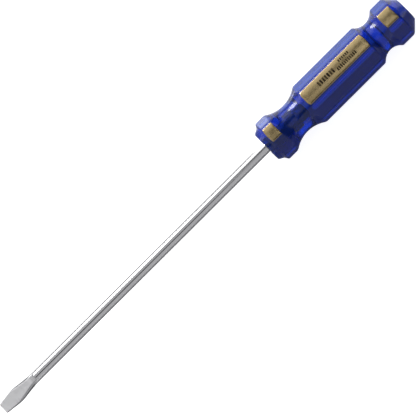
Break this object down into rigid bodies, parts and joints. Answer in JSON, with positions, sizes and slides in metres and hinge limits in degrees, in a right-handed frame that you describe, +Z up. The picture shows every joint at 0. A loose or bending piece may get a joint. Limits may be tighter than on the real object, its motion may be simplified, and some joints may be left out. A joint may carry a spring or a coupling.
{
  "type": "slotted screwdriver",
  "caption": "Fixed-blade slotted screwdriver: long round plated shank with a flared ground tip, in an octagonal clear blue plastic handle with turned waists and gold foil panels on one flat.",
  "frame": {"origin": "On the surface that the handle's lower flat rests on, under the middle of the tool's whole length and under its axis.", "axes": "X runs along the tool, with the butt of the handle at +X and the driving tip at -X; +Z is up, out of the foiled flat; Y is across. The tool axis is 12.5 mm above the origin."},
  "size_m": [0.3058, 0.025, 0.0252],
  "materials": {
    "plated_steel": "Nickel-chrome plated round bar, polished, with a satin ground tip.",
    "clear_acetate": "Polished transparent dark blue cellulose acetate.",
    "gold_foil": "Hot-stamped gold foil, satin, lightly rubbed along its edges."
  },
  "bodies": {
    "root": {"blade": "plated_steel", "handle": "clear_acetate", "collar_foil": "gold_foil", "grip_foil": "gold_foil", "butt_foil": "gold_foil"}
  },
  "joints": []
}
